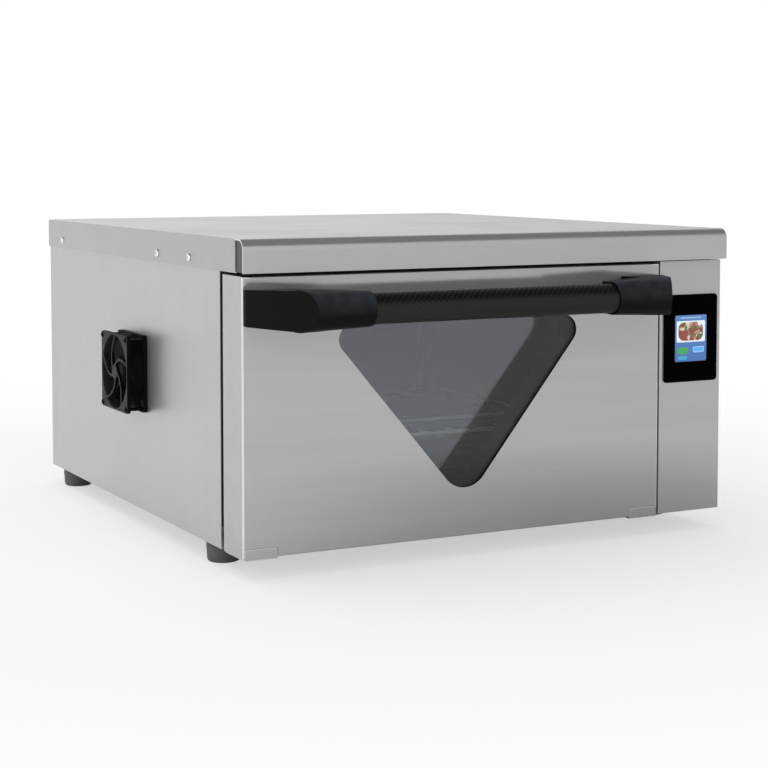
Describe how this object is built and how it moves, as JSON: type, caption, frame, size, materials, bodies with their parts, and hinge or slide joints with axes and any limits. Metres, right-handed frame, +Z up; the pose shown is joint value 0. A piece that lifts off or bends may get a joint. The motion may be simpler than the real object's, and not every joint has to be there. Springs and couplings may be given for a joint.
{
  "type": "countertop speed oven",
  "caption": "Countertop hot-air oven with a drop-down glazed door, a tube handle, a control column at the right and an axial cooling fan on the left side.",
  "frame": {"origin": "middle of the oven's bounding box, handle and side fan included, at the level of the feet", "axes": "+X to the oven's right seen from the front, +Y from the door to the back, +Z up"},
  "size_m": [0.652, 0.7728, 0.3606],
  "materials": {
    "brushed_steel": "satin grain along the width",
    "side_steel": "satin grain",
    "bright_steel": "bright",
    "galvanised_steel": "dull",
    "dark_enamel": "satin",
    "smoked_glass": "polished",
    "black_glass": "polished",
    "screen": "gloss",
    "black_plastic": "satin",
    "carbon_tube": "woven carbon under lacquer",
    "rubber": "matte",
    "silicone": "matte",
    "mineral_wool": "matte",
    "circuit_board": "satin",
    "motor_casing": "satin",
    "heater_sheath": "heat-darkened"
  },
  "bodies": {
    "cabinet": {"base_pan": "galvanised_steel", "left_side_panel": "side_steel", "right_side_panel": "side_steel", "back_panel": "galvanised_steel", "front_frame": "galvanised_steel", "top_cover": "brushed_steel", "control_column": "brushed_steel", "cavity_liner": "bright_steel", "cavity_insulation": "mineral_wool", "door_seal": "silicone", "rack_rail_left": "bright_steel", "rack_rail_right": "bright_steel", "wire_rack": "bright_steel", "baking_plate": "dark_enamel", "fan_baffle": "bright_steel", "convection_motor": "motor_casing", "heater_element": "heater_sheath", "limit_thermostat": "motor_casing", "temperature_probe": "bright_steel", "display_bezel": "black_glass", "display_module": "screen", "control_board": "circuit_board", "power_board": "circuit_board", "cord_gland": "black_plastic", "foot_front_left": "rubber", "foot_front_right": "rubber", "foot_back_left": "rubber", "foot_back_right": "rubber", "cover_screw_left_front": "bright_steel", "cover_screw_left_middle": "bright_steel", "cover_screw_left_back": "bright_steel", "cover_screw_right_front": "bright_steel", "cover_screw_right_middle": "bright_steel", "cover_screw_right_back": "bright_steel", "cooling_fan_frame": "black_plastic", "cooling_fan_screw_front_low": "black_plastic", "cooling_fan_screw_front_high": "black_plastic", "cooling_fan_screw_back_low": "black_plastic", "cooling_fan_screw_back_high": "black_plastic", "hinge_arm_left": "galvanised_steel", "hinge_arm_right": "galvanised_steel", "hinge_pin_left": "bright_steel", "hinge_pin_right": "bright_steel", "hinge_spring_left": "bright_steel", "hinge_spring_right": "bright_steel"},
    "door": {"hinge_fitting_left": "brushed_steel", "hinge_fitting_right": "brushed_steel", "door_outer_skin": "brushed_steel", "door_inner_skin": "bright_steel", "outer_glass": "smoked_glass", "inner_glass": "smoked_glass", "window_frame": "dark_enamel", "handle_tube": "carbon_tube", "handle_end_left": "black_plastic", "handle_end_right": "black_plastic", "handle_screw_left": "bright_steel", "handle_screw_right": "bright_steel"},
    "oven_fan": {"convection_fan": "bright_steel"},
    "side_fan": {"cooling_fan_rotor": "black_plastic"}
  },
  "joints": [
    {"name": "door_hinge", "type": "hinge", "parent": "cabinet", "child": "door", "pos_m": [-0.03325, -0.2699, 0.0386], "axis": [1, 0, 0], "range_deg": [0, 70], "stiffness_Nm_per_rad": 3.5, "springref_deg": -25.78},
    {"name": "oven_fan_spin", "type": "hinge", "parent": "cabinet", "child": "oven_fan", "pos_m": [-0.03325, 0.1456, 0.1736], "axis": [0, 1, 0], "continuous": true},
    {"name": "side_fan_spin", "type": "hinge", "parent": "cabinet", "child": "side_fan", "pos_m": [-0.3242, 0.0371, 0.1886], "axis": [1, 0, 0], "continuous": true}
  ]
}
